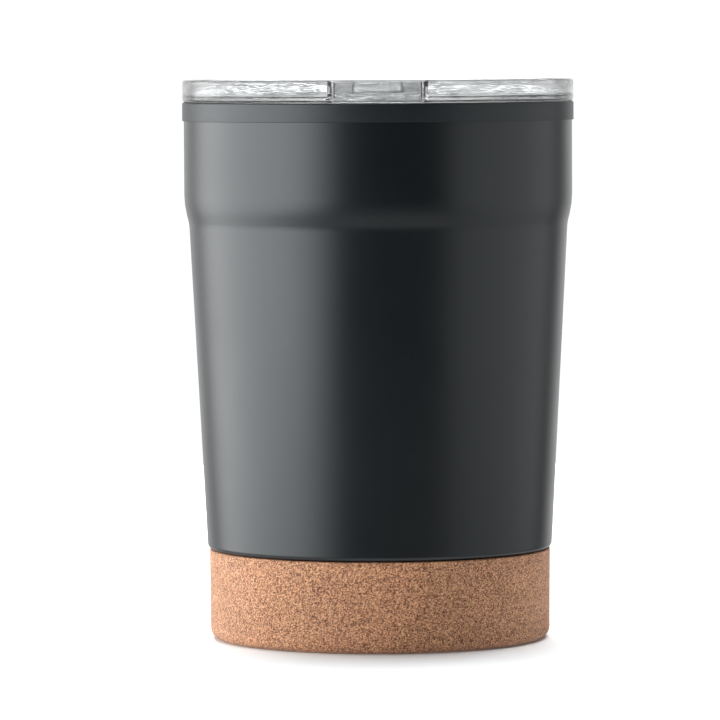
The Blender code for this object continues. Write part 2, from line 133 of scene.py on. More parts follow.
class TUMBLER_PG_liner(PropertyGroup):
    """The moulded liner, whose rim shows as a dark band."""

    segments: facets(256)
    band_height: length("Band height", "Height of the rim band", 4.1 * MM)
    band_round: length("Band round", "Radius of the rim band's upper edges", 0.5 * MM)
    band_foot_round: length("Band foot round", "Radius of the rim band's lower edge", 0.07 * MM)
    collar_radius: length("Collar radius", "Radius of the collar in the shell's mouth", 41.35 * MM)
    collar_depth: length("Collar depth", "Depth of the collar", 6.0 * MM)
    groove_depth: length("Groove depth", "Depth of the gasket groove", 1.0 * MM)
    groove_height: length("Groove height", "Height of the gasket groove", 2.0 * MM)
    groove_drop: length("Groove drop", "Rim band down to the groove", 2.2 * MM)
    mouth_radius: length("Mouth radius", "Radius of the mouth inside", 38.4 * MM)
    straight: length("Straight mouth", "Depth of the parallel mouth", 13.0 * MM)
    flare_round: length("Flare round", "Radius where the mouth meets the taper", 30 * MM)
    base_radius: length("Base radius", "Radius of the floor inside", 30.2 * MM)
    wall: length("Wall", "Thickness of the wall", 1.6 * MM)
    floor_height: length("Floor height", "Height of the floor inside", 14.0 * MM)
    floor: length("Floor", "Thickness of the floor", 2.0 * MM)
    floor_round: length("Floor round", "Radius between wall and floor", 6.0 * MM)
    boss_radius: length("Boss radius", "Radius of the boss underneath", 25.6 * MM)
    boss_wall: length("Boss wall", "Thickness of the boss", 2.0 * MM)
    tint: colour("Plastic", "Colour of the plastic", (0.0095, 0.0122, 0.0142))
    roughness: share("Roughness", "Roughness of the plastic", 0.40)


class TUMBLER_PG_cork(PropertyGroup):
    """The cork foot."""

    segments: facets(720)
    row: length("Row", "Height of one row of faces on the outer wall", 0.32 * MM)
    taper: length("Taper", "How much narrower the foot is at its lower end", 0.15 * MM)
    foot_round: length("Foot round", "Radius of the lower outer edge", 2.4 * MM)
    top_round: length("Top round", "Radius of the upper outer edge", 0.35 * MM)
    wall: length("Wall", "Thickness of the wall", 3.2 * MM)
    floor: length("Floor", "Thickness of the floor", 3.2 * MM)
    socket_round: length("Socket round", "Radius of the socket's upper edge", 1.1 * MM)
    pit_depth: length("Pit depth", "Depth of the deepest pits between granules", 0.10 * MM)
    granule: length("Granule", "Usual width of a granule", 0.25 * MM)
    pale: colour("Pale granules", "Colour of the palest granules", (0.785, 0.435, 0.235))
    tan: colour("Tan granules", "Colour of most granules", (0.395, 0.168, 0.077))
    brown: colour("Brown granules", "Colour of the darkest granules", (0.100, 0.030, 0.011))
    bark: colour("Bark", "Colour of the flecks of bark", (0.035, 0.012, 0.006))


class TUMBLER_PG_lid(PropertyGroup):
    """The clear lid."""

    segments: facets(192)
    rim_height: length("Rim height", "Height that stands on the cup's rim", 4.75 * MM)
    rim_wall: length("Rim wall", "Thickness of the raised rim", 1.3 * MM)
    rim_round: length("Rim round", "Radius of the outer upper edge", 1.2 * MM)
    rim_inner_round: length("Rim inner round", "Radius of the inner upper edge", 0.35 * MM)
    deck_round: length("Deck round", "Radius between the deck and the raised rim", 0.8 * MM)
    deck: length("Deck", "Thickness of the deck", 1.5 * MM)
    flange: length("Flange", "Deck's upper face above the lid's seat", 0.95 * MM)
    plug_radius: length("Plug radius", "Radius of the plug between its ribs", 36.9 * MM)
    plug_wall: length("Plug wall", "Thickness of the plug", 1.4 * MM)
    rib_radius: length("Rib radius", "Radius of the plug's ribs", 37.9 * MM)
    rib_height: length("Rib height", "Height of one rib", 1.0 * MM)
    channel_half_width: length("Channel half width", "Half the channel's width", 9.3 * MM)
    channel_margin: length("Channel margin", "Plug's inner wall to the channel's front end", 0.5 * MM)
    channel_round: length("Channel round", "Radius of the channel's rear corners", 0.4 * MM)
    channel_wall: length("Channel wall", "Thickness of the channel's walls", 1.2 * MM)
    wall_round: length("Wall round", "Radius of the channel walls' rear corners", 0.3 * MM)
    channel_sink: length("Channel sink", "Channel floor below the deck", 1.2 * MM)
    channel_top_drop: length("Wall drop", "Channel walls below the lid's rim", 0.5 * MM)
    rail_overhang: length("Rail overhang", "How far the rails reach over the slider", 0.9 * MM)
    rail_height: length("Rail height", "Thickness of the rails", 0.8 * MM)
    rail_setback: length("Rail setback", "Channel's front end to the rails", 7.0 * MM)
    spout_step: length("Spout step", "How much narrower the spout is, each side", 0.4 * MM)
    spout_lip: length("Spout lip", "Extra thickness of the rim at the spout", 0.8 * MM)
    spout_dip: length("Spout dip", "How much lower the rim is at the spout", 0.4 * MM)
    drink_half_width: length("Hole half width", "Half the drinking hole's width", 7.0 * MM)
    drink_length: length("Hole length", "Length of the drinking hole", 8.0 * MM)
    drink_margin: length("Hole margin", "Drinking hole to the channel's front end", 1.4 * MM)
    drink_round: length("Hole round", "Radius of the drinking hole's corners", 2.4 * MM)
    vent_radius: length("Vent radius", "Radius of the vent", 1.0 * MM)
    vent_setback: length("Vent setback", "Vent behind the channel", 8.0 * MM)
    edge: length("Edge", "Width of the moulded edges' rounding", 0.20 * MM)
    tint: colour("Plastic", "Colour of the clear plastic", (0.965, 0.975, 0.977))
    gloss: share("Gloss", "Strength of the clear plastic's reflections", 0.36)
    clarity: share("Clarity", "Share of light that passes through, not scattered", 0.975)
    streaks: share("Streaks", "How dark the plastic's flow streaks are", 0.26)
    ior: FloatProperty(name="IOR", description="Index of refraction", default=1.34, min=1, max=2)


class TUMBLER_PG_slider(PropertyGroup):
    """The slider that closes the drinking hole."""

    tint: colour("Plastic", "Colour of the slider's clear plastic", (0.900, 0.915, 0.918))
    clearance: length("Clearance", "Slider to the channel", 0.3 * MM)
    travel: length("Travel", "How far it slides back", 14.0 * MM)
    thickness: length("Thickness", "Thickness of the plate", 1.8 * MM)
    corner: length("Corner", "Radius of the rear corners", 3.0 * MM)
    edge: length("Edge", "Width of the edges' rounding", 0.3 * MM)
    grip_half_width: length("Grip half width", "Half the thumb grip's width", 6.0 * MM)
    grip_length: length("Grip length", "Length of the thumb grip", 5.0 * MM)
    grip_setback: length("Grip setback", "Rear edge to the grip's middle", 9.0 * MM)
    grip_round: length("Grip round", "Radius of the grip's corners", 1.0 * MM)
    grip_draft: length("Grip draft", "How much the grip narrows upwards, each side", 0.8 * MM)
    rib_count: IntProperty(name="Ribs", description="Ribs on the thumb grip", default=4, min=1, max=9)
    rib_pitch: length("Rib pitch", "Distance between ribs", 0.85 * MM)
    rib_radius: length("Rib radius", "Radius of one rib", 0.26 * MM)


class TUMBLER_PG_seal(PropertyGroup):
    """The silicone ring on the lid's plug."""

    segments: facets(192)
    wall: length("Wall", "Thickness between the lips", 0.45 * MM)
    lips: IntProperty(name="Lips", description="Number of soft lips", default=2, min=1, max=4)
    tip_round: length("Tip round", "Radius of a lip's tip", 0.18 * MM)
    tint: colour("Silicone", "Colour of the silicone", (0.80, 0.83, 0.83))


class TUMBLER_PG_studio(PropertyGroup):
    """Floor, lights and camera."""

    floor_radius: length("Floor radius", "Radius of the white floor", 0.50)
    floor_tint: colour("Floor", "Colour of the floor", (0.895, 0.920, 0.935))
    key_radiance: radiance("Key", "Radiance of the left softbox", 5.2)
    fill_radiance: radiance("Fill", "Radiance of the right softbox", 0.94)
    top_radiance: radiance("Top", "Radiance of the overhead softbox", 10.5)
    side_height: length("Side height", "Height of the left and right softboxes' middles", 0.18)
    back_radiance: radiance("Back", "Radiance of the studio behind the cup", 1.1)
    through_share: share("Through", "Share of the studio's light that shows through clear plastic", 0.08)
    through_radiance: radiance("Glow", "Least radiance seen through clear plastic", 0.45)
    low_radiance: radiance("Low", "Radiance of the studio from below", 0.95)
    dark_radiance: radiance("Dark", "Radiance of the studio's dark parts", 0.01)
    backdrop_radiance: radiance("Backdrop", "Radiance that the camera sees round the cup", 1.05)
    camera_distance: length("Camera distance", "Camera in front of the cup's axis", 1.1514)
    camera_height: length("Camera height", "Camera above the floor", 0.12535)
    camera_pitch: angle("Pitch", "How far the camera looks down", 3.227)
    camera_yaw: angle("Yaw", "How far the camera looks to the left", 0.206)
    camera_roll: angle("Roll", "How far the camera is rolled", -0.286)
    lens: FloatProperty(name="Lens", description="Focal length in millimetres", default=264.8)


class TUMBLER_PG_settings(PropertyGroup):
    """All the tumbler's settings."""

    shell: PointerProperty(type=TUMBLER_PG_shell)
    liner: PointerProperty(type=TUMBLER_PG_liner)
    cork: PointerProperty(type=TUMBLER_PG_cork)
    lid: PointerProperty(type=TUMBLER_PG_lid)
    slider: PointerProperty(type=TUMBLER_PG_slider)
    seal: PointerProperty(type=TUMBLER_PG_seal)
    studio: PointerProperty(type=TUMBLER_PG_studio)


# --- Outlines ---


def rounded(corners, closed=False):
    """The points of a path whose corners, given as (x, y) or (x, y, radius), are rounded by arcs."""
    points = []
    last = len(corners) - 1
    for i, corner in enumerate(corners):
        x, y = corner[:2]
        radius = corner[2] if len(corner) > 2 else 0
        if radius == 0 or (not closed and i in (0, last)):
            points.append((x, y))
            continue
        before = corners[i - 1]
        after = corners[(i + 1) % len(corners)]
        in_x, in_y = x - before[0], y - before[1]
        out_x, out_y = after[0] - x, after[1] - y
        in_length, out_length = math.hypot(in_x, in_y), math.hypot(out_x, out_y)
        heading = math.atan2(in_y, in_x)
        turn = math.remainder(math.atan2(out_y, out_x) - heading, math.tau)
        reach = radius * math.tan(abs(turn) / 2)
        reach = min(reach, LONGEST_REACH * in_length, LONGEST_REACH * out_length)
        radius = reach / math.tan(abs(turn) / 2)
        start_x, start_y = x - in_x / in_length * reach, y - in_y / in_length * reach
        side = math.copysign(1, turn)
        centre_x = start_x - side * radius * math.sin(heading)
        centre_y = start_y + side * radius * math.cos(heading)
        steps = max(2, math.ceil(abs(turn) / ARC_STEP))
        for step in range(steps + 1):
            bearing = heading + turn * step / steps
            reach_x, reach_y = side * radius * math.sin(bearing), side * radius * math.cos(bearing)
            points.append((centre_x + reach_x, centre_y - reach_y))
    return points


def offset(path, distance):
    """The open path moved sideways, to its left when the distance is positive."""
    moved = []
    for i, (x, y) in enumerate(path):
        before = path[max(i - 1, 0)]
        after = path[min(i + 1, len(path) - 1)]
        in_angle = math.atan2(y - before[1], x - before[0]) if i else None
        out_angle = math.atan2(after[1] - y, after[0] - x) if i < len(path) - 1 else None
        in_angle = out_angle if in_angle is None else in_angle
        out_angle = in_angle if out_angle is None else out_angle
        half_turn = math.remainder(out_angle - in_angle, math.tau) / 2
        normal = in_angle + half_turn + math.pi / 2
        reach = distance / math.cos(half_turn)
        moved.append((x + reach * math.cos(normal), y + reach * math.sin(normal)))
    return moved


def divided(points, longest):
    """The path with its long straight stretches divided, so that no piece is longer than given."""
    finer = [points[0]]
    for (x0, y0), (x1, y1) in zip(points, points[1:]):
        parts = max(1, math.ceil(math.hypot(x1 - x0, y1 - y0) / longest))
        finer += [(x0 + (x1 - x0) * i / parts, y0 + (y1 - y0) * i / parts) for i in range(1, parts + 1)]
    return finer


def bullet(half_width, front_radius, rear_y, rear_round=0.0):
    """A plan outline with straight sides, a flat rear end and a front end that is an arc about Z."""
    corner = math.asin(half_width / front_radius)
    steps = max(4, math.ceil(2 * corner / FRONT_ARC_STEP))
    points = []
    for step in range(steps + 1):
        bearing = -corner + 2 * corner * step / steps
        points.append((front_radius * math.sin(bearing), -front_radius * math.cos(bearing)))
    rear = [(half_width, rear_y, rear_round), (-half_width, rear_y, rear_round)]
    return points + rounded([points[-1], *rear, points[0]])[1:-1]


def rectangle(low_x, high_x, low_y, high_y):
    return [(low_x, low_y), (high_x, low_y), (high_x, high_y), (low_x, high_y)]


def circle(radius, centre_y, sides=32):
    turns = [i * math.tau / sides for i in range(sides)]
    return [(radius * math.cos(turn), centre_y + radius * math.sin(turn)) for turn in turns]


# --- Node trees ---


def new_tree(name, kind, inputs, outputs):
    """A node tree with the named sockets, given as (name, type) or (name, type, default), and its input and
    output nodes."""
    tree = bpy.data.node_groups.new(name, kind)
    for direction, sockets in (("INPUT", inputs), ("OUTPUT", outputs)):
        for label, value_type, *default in sockets:
            socket_type = "NodeSocket" + value_type
            socket = tree.interface.new_socket(name=label, in_out=direction, socket_type=socket_type)
            if default:
                socket.default_value = default[0]
    return tree, tree.nodes.new("NodeGroupInput"), tree.nodes.new("NodeGroupOutput")


def geometry_tree(name, *inputs):
    """A geometry node tree with the named inputs and a material, the sockets of its input node and its output
    node."""
    inputs = [*inputs, ("Material", "Material")]
    tree, given, result = new_tree(name, "GeometryNodeTree", inputs, [("Geometry", "Geometry")])
    return tree, given.outputs, result


def add_node(tree, kind, inputs=(), **settings):
    """A node of a kind, with its settings. Each input is linked where its value is a socket, and else set."""
    node = tree.nodes.new(kind)
    for key, value in settings.items():
        setattr(node, key, value)
    for key, value in dict(inputs).items():
        if isinstance(value, bpy.types.NodeSocket):
            tree.links.new(value, node.inputs[key])
        else:
            node.inputs[key].default_value = value
    return node


def maths(tree, operation, first, second=0.0):
    return add_node(tree, "ShaderNodeMath", {0: first, 1: second}, operation=operation).outputs[0]


def whole_maths(tree, operation, first, second):
    return add_node(tree, "FunctionNodeIntegerMath", {0: first, 1: second}, operation=operation).outputs[0]


def vector_maths(tree, operation, first, second):
    """The second operand is a vector, or the factor that a vector is scaled by."""
    inputs = {0: first, "Scale" if operation == "SCALE" else 1: second}
    return add_node(tree, "ShaderNodeVectorMath", inputs, operation=operation).outputs[0]


def axes(tree, vector):
    """The sockets of a vector's X, Y and Z."""
    return add_node(tree, "ShaderNodeSeparateXYZ", {0: vector}).outputs


def remap(tree, value, from_low, from_high, to_low, to_high, **settings):
    ranges = {"From Min": from_low, "From Max": from_high, "To Min": to_low, "To Max": to_high}
    return add_node(tree, "ShaderNodeMapRange", {"Value": value, **ranges}, **settings).outputs["Result"]


def noise(tree, place, scale, detail, roughness=0.5, distortion=0.0):
    """The value of a noise texture at a place."""
    inputs = {"Vector": place, "Scale": scale, "Detail": detail, "Roughness": roughness}
    return add_node(tree, "ShaderNodeTexNoise", {**inputs, "Distortion": distortion}).outputs[0]


def cells(tree, place, scale, **settings):
    """The sockets of a cell pattern at a place."""
    return add_node(tree, "ShaderNodeTexVoronoi", {"Vector": place, "Scale": scale}, **settings).outputs


def seams(tree, place, scale):
    """The distance from the nearest seam of a cell pattern."""
    return cells(tree, place, scale, feature="DISTANCE_TO_EDGE")["Distance"]


def lay_out(tree):
    """Spreads the nodes out in columns, so that the tree can be read in the node editor."""
    for i, node in enumerate(tree.nodes):
        node.location = (240 * (i // 4), -220 * (i % 4))


def end_tree(tree, geometry, given, result):
    """Ends a geometry node tree: instances are made real and every face gets the material."""
    realized = add_node(tree, "GeometryNodeRealizeInstances", {"Geometry": geometry}).outputs[0]
    inputs = {"Geometry": realized, "Material": given["Material"]}
    painted = add_node(tree, "GeometryNodeSetMaterial", inputs).outputs[0]
    tree.links.new(painted, result.inputs[0])
    lay_out(tree)
    return tree


def turned_tree():
    """Turns an outline, whose points hold (radius, 0, height), about Z."""
    name = "Turned piece"
    if name in bpy.data.node_groups:
        return bpy.data.node_groups[name]
    inputs = (("Outline", "Geometry"), ("Segments", "Int"), ("Merge Distance", "Float"))
    tree, given, result = geometry_tree(name, *inputs)
    outline, segments = given["Outline"], given["Segments"]
    points = add_node(tree, "GeometryNodeAttributeDomainSize", {"Geometry": outline}).outputs["Point Count"]
    columns = whole_maths(tree, "ADD", segments, 1)
    grid = add_node(tree, "GeometryNodeMeshGrid", {"Vertices X": columns, "Vertices Y": points})
    index = add_node(tree, "GeometryNodeInputIndex").outputs[0]
    column = whole_maths(tree, "DIVIDE_FLOOR", index, points)
    row = whole_maths(tree, "MODULO", index, points)
    place = add_node(tree, "GeometryNodeInputPosition").outputs[0]
    sample = add_node(
        tree,
        "GeometryNodeSampleIndex",
        {"Geometry": outline, "Value": place, "Index": row},
        data_type="FLOAT_VECTOR",
        domain="POINT",
    )
    parts = axes(tree, sample.outputs[0])
    turn = maths(tree, "MULTIPLY", maths(tree, "DIVIDE", column, segments), math.tau)
    x = maths(tree, "MULTIPLY", parts["X"], maths(tree, "COSINE", turn))
    y = maths(tree, "MULTIPLY", parts["X"], maths(tree, "SINE", turn))
    position = add_node(tree, "ShaderNodeCombineXYZ", {"X": x, "Y": y, "Z": parts["Z"]}).outputs[0]
    inputs = {"Geometry": grid.outputs["Mesh"], "Position": position}
    moved = add_node(tree, "GeometryNodeSetPosition", inputs).outputs[0]
    inputs = {"Geometry": moved, "Distance": given["Merge Distance"]}
    merged = add_node(tree, "GeometryNodeMergeByDistance", inputs).outputs[0]
    return end_tree(tree, merged, given, result)


def pitted_tree():
    """Sinks pits into a surface, along the seams of a cell pattern and where a fine noise runs low."""
    inputs = (("Geometry", "Geometry"), ("Granule", "Float"), ("Depth", "Float"), ("Floor Height", "Float"))
    tree, given, result = geometry_tree("Cork pits", *inputs)
    place = add_node(tree, "GeometryNodeInputPosition").outputs[0]
    scale = maths(tree, "DIVIDE", 1.0, given["Granule"])
    seam = remap(tree, seams(tree, place, scale), 0.0, 0.18, 0.45, 0.0)
    hollow = remap(tree, noise(tree, place, 620.0, 2.0), 0.36, 0.24, 0.0, 1.0)
    depth = maths(tree, "MULTIPLY", maths(tree, "ADD", seam, hollow), given["Depth"])
    normal = add_node(tree, "GeometryNodeInputNormal").outputs[0]
    shift = vector_maths(tree, "SCALE", normal, maths(tree, "MULTIPLY", depth, -1.0))
    inputs = {0: axes(tree, place)["Z"], 1: given["Floor Height"]}
    above = add_node(tree, "FunctionNodeCompare", inputs, operation="GREATER_THAN").outputs[0]
    inputs = {"Geometry": given["Geometry"], "Selection": above, "Offset": shift}
    moved = add_node(tree, "GeometryNodeSetPosition", inputs).outputs[0]
    return end_tree(tree, moved, given, result)


def ribbed_tree():
    """Adds a row of round ribs, which lie along X, to a grip and joins them to it."""
    sizes = [(name, "Float") for name in ("Pitch", "Radius", "Length")]
    inputs = (("Geometry", "Geometry"), ("Count", "Int"), *sizes, ("First Rib", "Vector"))
    tree, given, result = geometry_tree("Grip ribs", *inputs)
    step = add_node(tree, "ShaderNodeCombineXYZ", {"Y": given["Pitch"]}).outputs[0]
    inputs = {"Count": given["Count"], "Start Location": given["First Rib"], "Offset": step}
    row = add_node(tree, "GeometryNodeMeshLine", inputs, mode="OFFSET").outputs["Mesh"]
    inputs = {"Vertices": 16, "Radius": given["Radius"], "Depth": given["Length"]}
    rib = add_node(tree, "GeometryNodeMeshCylinder", inputs, fill_type="NGON").outputs["Mesh"]
    inputs = {"Points": row, "Instance": rib, "Rotation": (0.0, math.radians(90), 0.0)}
    placed = add_node(tree, "GeometryNodeInstanceOnPoints", inputs).outputs[0]
    ribs = add_node(tree, "GeometryNodeRealizeInstances", {"Geometry": placed}).outputs[0]
    joined = add_node(tree, "GeometryNodeMeshBoolean", operation="UNION", solver="EXACT")
    for part in (given["Geometry"], ribs):
        tree.links.new(part, joined.inputs["Mesh 2"])
    return end_tree(tree, joined.outputs["Mesh"], given, result)


# --- Making pieces ---


def add_object(name, content):
    """A new object in the scene that holds a mesh, a light or a camera."""
    made = bpy.data.objects.new(name, content)
    bpy.context.scene.collection.objects.link(made)
    return made


def settle(made):
    """Replaces the object's mesh by what its modifiers make of it, and takes the modifiers off."""
    graph = bpy.context.evaluated_depsgraph_get()
    finished = bpy.data.meshes.new_from_object(made.evaluated_get(graph))
    made.modifiers.clear()
    made.data = finished


def grow(made, tree, **inputs):
    """Runs a geometry node tree on the object and keeps the result as a plain mesh."""
    modifier = made.modifiers.new(tree.name, "NODES")
    modifier.node_group = tree
    wanted = {name.replace("_", " ").title(): value for name, value in inputs.items()}
    for item in tree.interface.items_tree:
        if item.in_out == "INPUT" and item.name in wanted:
            modifier[item.identifier] = wanted.pop(item.name)
    if wanted:
        raise RuntimeError(f"{tree.name} has no input named {sorted(wanted)}")
    settle(made)


def turn_outwards(made, sharp_angle=SHARP_ANGLE):
    """Turns the faces outwards and shades the object smooth between its sharp edges."""
    shape = bmesh.new()
    shape.from_mesh(made.data)
    bmesh.ops.recalc_face_normals(shape, faces=shape.faces)
    shape.to_mesh(made.data)
    shape.free()
    made.data.shade_smooth()
    made.data.set_sharp_from_angle(angle=sharp_angle)


def turned(name, outline, segments, material):
    """A solid of revolution about Z. An outline that doesn't start on the axis is closed into a ring."""
    if outline[0][0] > 0:
        outline = [*outline, outline[0]]
    mesh = bpy.data.meshes.new(name)
    pairs = [(i, i + 1) for i in range(len(outline) - 1)]
    mesh.from_pydata([(radius, 0, height) for radius, height in outline], pairs, [])
    made = add_object(name, mesh)
    grow(made, turned_tree(), segments=segments, merge_distance=MERGE_DISTANCE, material=material)
    turn_outwards(made)
    return made


def prism(name, outline, low, high, draft=0.0):
    """A plan outline carried from one height to another. The draft draws its upper face in on every side."""
    shape = bmesh.new()
    base = shape.faces.new([shape.verts.new((x, y, low)) for x, y in outline])
    grown = bmesh.ops.extrude_face_region(shape, geom=[base])["geom"]
    upper = [item for item in grown if isinstance(item, bmesh.types.BMVert)]
    middle_x, middle_y = (sum(values) / len(outline) for values in zip(*outline))
    for vert in upper:
        vert.co.z = high
        vert.co.x -= math.copysign(draft, vert.co.x - middle_x)
        vert.co.y -= math.copysign(draft, vert.co.y - middle_y)
    bmesh.ops.recalc_face_normals(shape, faces=shape.faces)
    mesh = bpy.data.meshes.new(name)
    shape.to_mesh(mesh)
    shape.free()
    return add_object(name, mesh)


def combine(target, tool, operation):
    """Joins a tool to the target, or cuts it away, and deletes the tool."""
    modifier = target.modifiers.new(tool.name, "BOOLEAN")
    modifier.operation = operation
    modifier.solver = "EXACT"
    modifier.object = tool
    settle(target)
    bpy.data.objects.remove(tool)


def join(made, name, plan, low, high):
    """Joins a plan outline, carried from one height to another, to the piece."""
    combine(made, prism(name, plan, low, high), "UNION")


def cut(made, name, plan, low, high):
    """Cuts a plan outline, carried from one height to another, away from the piece."""
    combine(made, prism(name, plan, low, high), "DIFFERENCE")


def soften_edges(made, width):
    """Rounds the sharp edges."""
    bevel = made.modifiers.new("Edges", "BEVEL")
    bevel.width = width
    bevel.segments = 2
    bevel.limit_method = "ANGLE"
    bevel.angle_limit = SHARP_ANGLE
    settle(made)


def paint(made, material):
    """Gives every face of the object one material."""
    made.data.materials.clear()
    made.data.materials.append(material)
    made.data.polygons.foreach_set("material_index", [0] * len(made.data.polygons))


def hand_over(made, body, node):
    """Gives the finished piece to the frame: the body it rides on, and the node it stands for."""
    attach(made, body)
    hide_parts(node)


# --- Effects that several materials share ---


def object_place(tree):
    return add_node(tree, "ShaderNodeTexCoord").outputs["Object"]


def use_group(tree, group, **inputs):
    """The output of a group that is placed in a tree with its own values."""
    inputs = {name.replace("_", " ").title(): value for name, value in inputs.items()}
    return add_node(tree, "ShaderNodeGroup", inputs, node_tree=group).outputs[0]


def speckle_group():
    """A fine, even unevenness: a value about 0, from -1 to 1, that moulded and sprayed surfaces have."""
    name = "Speckle"
    if name in bpy.data.node_groups:
        return bpy.data.node_groups[name]
    inputs = [("Size", "Float", 1 * MM), ("Detail", "Float", 2.0)]
    tree, given, result = new_tree(name, "ShaderNodeTree", inputs, [("Value", "Float")])
    scale = maths(tree, "DIVIDE", 1.0, given.outputs["Size"])
    value = noise(tree, object_place(tree), scale, given.outputs["Detail"])
    tree.links.new(remap(tree, value, 0.25, 0.75, -1.0, 1.0), result.inputs[0])
    lay_out(tree)
    return tree


def handling_group():
    """Broad, faint smudges from handling: a roughness with soft patches where hands have polished it."""
    name = "Handling"
    if name in bpy.data.node_groups:
        return bpy.data.node_groups[name]
    shares = [("Roughness", "Float", 0.4), ("Smudge", "Float", 0.03), ("Grain", "Float", 0.02)]
    inputs = [*shares, ("Grain Size", "Float", 0.6 * MM)]
    tree, given, result = new_tree(name, "ShaderNodeTree", inputs, [("Roughness", "Float")])
    patches = noise(tree, object_place(tree), 38.0, 3.0, distortion=0.6)
    patches = remap(tree, patches, 0.35, 0.70, -1.0, 1.0)
    smudge = maths(tree, "MULTIPLY", patches, given.outputs["Smudge"])
    speckle = use_group(tree, speckle_group(), size=given.outputs["Grain Size"])
    grain = maths(tree, "MULTIPLY", speckle, given.outputs["Grain"])
    total = maths(tree, "ADD", given.outputs["Roughness"], maths(tree, "ADD", smudge, grain))
    tree.links.new(total, result.inputs[0])
    lay_out(tree)
    return tree


def new_material(name, base, roughness, **inputs):
    """A material and its Principled BSDF, with a plain colour, roughness and other inputs to start from."""
    material = bpy.data.materials.new(name)
    material.use_nodes = True
    shader = material.node_tree.nodes["Principled BSDF"]
    shader.inputs["Base Color"].default_value = (*base, 1.0)
    shader.inputs["Roughness"].default_value = roughness
    for label, value in inputs.items():
        shader.inputs[label.replace("_", " ")].default_value = value
    return material, shader


def roughen(shader, roughness, smudge, grain, grain_size):
    """Puts the handling effect on the shader's roughness."""
    inputs = {"roughness": roughness, "smudge": smudge, "grain": grain, "grain_size": grain_size}
    value = use_group(shader.id_data, handling_group(), **inputs)
    shader.id_data.links.new(value, shader.inputs["Roughness"])


def emboss(shader, height, distance):
    """Puts a relief on the surface's normal. The distance is how high a value of 1 stands."""
    inputs = {"Strength": 1.0, "Distance": distance, "Height": height}
    bump = add_node(shader.id_data, "ShaderNodeBump", inputs)
    shader.id_data.links.new(bump.outputs["Normal"], shader.inputs["Normal"])


def ripple(shader, size, detail, height):
    """Puts a speckle of a real height on the surface's normal."""
    emboss(shader, use_group(shader.id_data, speckle_group(), size=size, detail=detail), height)


def shade(shader, base, lightness):
    """Makes the base colour lighter or darker over the surface."""
    toned = add_node(shader.id_data, "ShaderNodeHueSaturation", {"Value": lightness, "Color": base})
    shader.id_data.links.new(toned.outputs["Color"], shader.inputs["Base Color"])


def tinge(shader, base, size, amount, detail=3.0):
    """Varies the base colour's lightness by a share, in patches of a size."""
    tree = shader.id_data
    value = use_group(tree, speckle_group(), size=size, detail=detail)
    shade(shader, base, remap(tree, value, -1.0, 1.0, 1.0 - amount, 1.0 + amount))


# --- Materials ---


def lacquer(settings):
    """Dark satin lacquer on steel, with the faint orange peel of a sprayed finish."""
    base = settings.lacquer
    material, shader = new_material("lacquer", base, settings.roughness, Specular_Tint=COOL_GLOSS)
    tinge(shader, (*base, 1.0), 9 * MM, 0.06)
    roughen(shader, settings.roughness, 0.018, 0.020, 0.35 * MM)
    ripple(shader, 0.9 * MM, 2.0, 0.0006 * MM)
    return material


def liner_plastic(settings):
    """Dark satin moulded plastic."""
    inputs = {"Specular_Tint": COOL_GLOSS, "Specular_IOR_Level": 0.43}
    material, shader = new_material("liner_plastic", settings.tint, settings.roughness, **inputs)
    tinge(shader, (*settings.tint, 1.0), 6 * MM, 0.07)
    roughen(shader, settings.roughness, 0.025, 0.035, 0.28 * MM)
    ripple(shader, 0.45 * MM, 3.0, 0.0009 * MM)
    return material


def clear_plastic(name, settings, tint, smooth_half):
    """Clear moulded plastic, with the faint level flow lines of its moulding. The surface is even within a
    distance of the middle plane."""
    gloss = (settings.gloss, settings.gloss, settings.gloss, 1.0)
    inputs = {"Transmission_Weight": settings.clarity, "Specular_Tint": gloss, "IOR": settings.ior}
    material, shader = new_material(name, tint, 0.03, **inputs)
    roughen(shader, 0.045, 0.020, 0.015, 1.2 * MM)
    tree = material.node_tree
    place = object_place(tree)
    drawn = vector_maths(tree, "MULTIPLY", place, (1.0, 1.0, 6.0))
    streak = noise(tree, drawn, 150.0, 4.0, roughness=0.62, distortion=0.7)
    shade(shader, (*tint, 1.0), remap(tree, streak, 0.38, 0.58, 1.0 - settings.streaks, 1.0))
    across = maths(tree, "ABSOLUTE", axes(tree, place)["X"])
    uneven = remap(tree, across, smooth_half, smooth_half + 2 * MM, 0.0, 1.0)
    flow = maths(tree, "SUBTRACT", noise(tree, drawn, 110.0, 3.0), 0.5)
    emboss(shader, maths(tree, "MULTIPLY", flow, uneven), 0.07 * MM)
    return material


def silicone(settings):
    """Soft translucent silicone with a faint bloom."""
    depth = (1.2 * MM, 1.2 * MM, 1.2 * MM)
    inputs = {"Transmission_Weight": 0.35, "IOR": 1.41, "Subsurface_Weight": 0.25, "Subsurface_Radius": depth}
    material, shader = new_material("silicone", settings.tint, 0.42, **inputs)
    roughen(shader, 0.42, 0.05, 0.04, 0.4 * MM)
    ripple(shader, 0.6 * MM, 2.0, 0.002 * MM)
    return material


def plain_rubber(name, base, roughness):
    """Matte rubber or foam for the pieces inside the foot and the rim."""
    material, shader = new_material(name, base, roughness)
    tinge(shader, (*base, 1.0), 0.8 * MM, 0.15)
    roughen(shader, roughness, 0.04, 0.05, 0.3 * MM)
    ripple(shader, 0.25 * MM, 3.0, 0.01 * MM)
    return material


